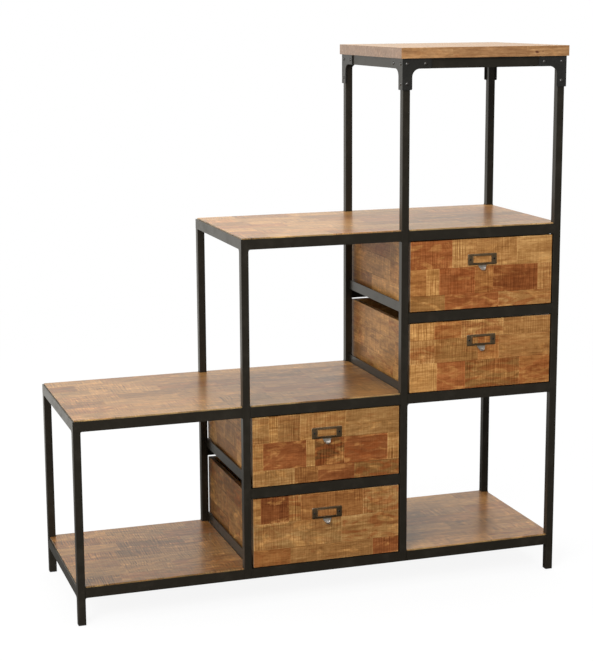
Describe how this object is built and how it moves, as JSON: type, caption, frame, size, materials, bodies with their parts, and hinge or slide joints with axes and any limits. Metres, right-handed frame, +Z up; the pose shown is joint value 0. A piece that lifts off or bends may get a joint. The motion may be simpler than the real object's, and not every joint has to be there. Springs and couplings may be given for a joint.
{
  "type": "stepped shelving unit with drawers",
  "caption": "Free-standing stair-shaped shelving unit: welded black steel frame, block-wood boards and open-topped drawers that slide out on angle runners.",
  "frame": {"origin": "on the floor under the middle of the unit's bounding box, drawers shut", "axes": "+Z up, the front with the drawer pulls faces -Y, +X to the viewer's right, towards the tall end"},
  "size_m": [1.2776, 0.4402, 1.37],
  "materials": {
    "frame_steel": "black powder coat, semi-matte",
    "bracket_steel": "blackened steel, satin",
    "board_wood": "block-glued reclaimed hardwood, clear satin lacquer",
    "drawer_wood": "block-glued reclaimed hardwood with saw marks, clear satin lacquer",
    "drawer_panel": "thin plywood, matte",
    "pull_bronze": "dark bronze, aged, satin",
    "screw_steel": "blackened steel screw heads",
    "plug_plastic": "black moulded plastic, matte"
  },
  "bodies": {
    "frame": {"bottom_back_rails": "frame_steel", "bottom_front_rails": "frame_steel", "bottom_left_board": "board_wood", "bottom_right_board": "board_wood", "bottom_side_rails": "frame_steel", "bracket_rivets": "bracket_steel", "corner_brackets": "bracket_steel", "drawer_back_rails": "frame_steel", "drawer_front_rails": "frame_steel", "foot_plugs": "plug_plastic", "inner_back_post": "frame_steel", "inner_front_post": "frame_steel", "left_back_post": "frame_steel", "left_front_post": "frame_steel", "long_aprons": "frame_steel", "middle_back_post": "frame_steel", "middle_drawer_runners": "frame_steel", "middle_front_post": "frame_steel", "right_back_post": "frame_steel", "right_drawer_runners": "frame_steel", "right_front_post": "frame_steel", "side_aprons": "frame_steel", "step_1_back_rails": "frame_steel", "step_1_board": "board_wood", "step_1_board_bearer": "frame_steel", "step_1_front_rails": "frame_steel", "step_1_side_rails": "frame_steel", "step_2_back_rails": "frame_steel", "step_2_board": "board_wood", "step_2_front_rails": "frame_steel", "step_2_side_rails": "frame_steel", "top_slab": "board_wood"},
    "middle_drawer_1": {"middle_drawer_1_back": "drawer_wood", "middle_drawer_1_bottom": "drawer_panel", "middle_drawer_1_front": "drawer_wood", "middle_drawer_1_left_side": "drawer_wood", "middle_drawer_1_pull": "pull_bronze", "middle_drawer_1_pull_screws": "screw_steel", "middle_drawer_1_right_side": "drawer_wood"},
    "middle_drawer_2": {"middle_drawer_2_back": "drawer_wood", "middle_drawer_2_bottom": "drawer_panel", "middle_drawer_2_front": "drawer_wood", "middle_drawer_2_left_side": "drawer_wood", "middle_drawer_2_pull": "pull_bronze", "middle_drawer_2_pull_screws": "screw_steel", "middle_drawer_2_right_side": "drawer_wood"},
    "right_drawer_1": {"right_drawer_1_back": "drawer_wood", "right_drawer_1_bottom": "drawer_panel", "right_drawer_1_front": "drawer_wood", "right_drawer_1_left_side": "drawer_wood", "right_drawer_1_pull": "pull_bronze", "right_drawer_1_pull_screws": "screw_steel", "right_drawer_1_right_side": "drawer_wood"},
    "right_drawer_2": {"right_drawer_2_back": "drawer_wood", "right_drawer_2_bottom": "drawer_panel", "right_drawer_2_front": "drawer_wood", "right_drawer_2_left_side": "drawer_wood", "right_drawer_2_pull": "pull_bronze", "right_drawer_2_pull_screws": "screw_steel", "right_drawer_2_right_side": "drawer_wood"}
  },
  "joints": [
    {"name": "middle_drawer_1_slide", "type": "slide", "parent": "frame", "child": "middle_drawer_1", "axis": [0, -1, 0], "range_m": [0, 0.3]},
    {"name": "middle_drawer_2_slide", "type": "slide", "parent": "frame", "child": "middle_drawer_2", "axis": [0, -1, 0], "range_m": [0, 0.3]},
    {"name": "right_drawer_1_slide", "type": "slide", "parent": "frame", "child": "right_drawer_1", "axis": [0, -1, 0], "range_m": [0, 0.3]},
    {"name": "right_drawer_2_slide", "type": "slide", "parent": "frame", "child": "right_drawer_2", "axis": [0, -1, 0], "range_m": [0, 0.3]}
  ]
}
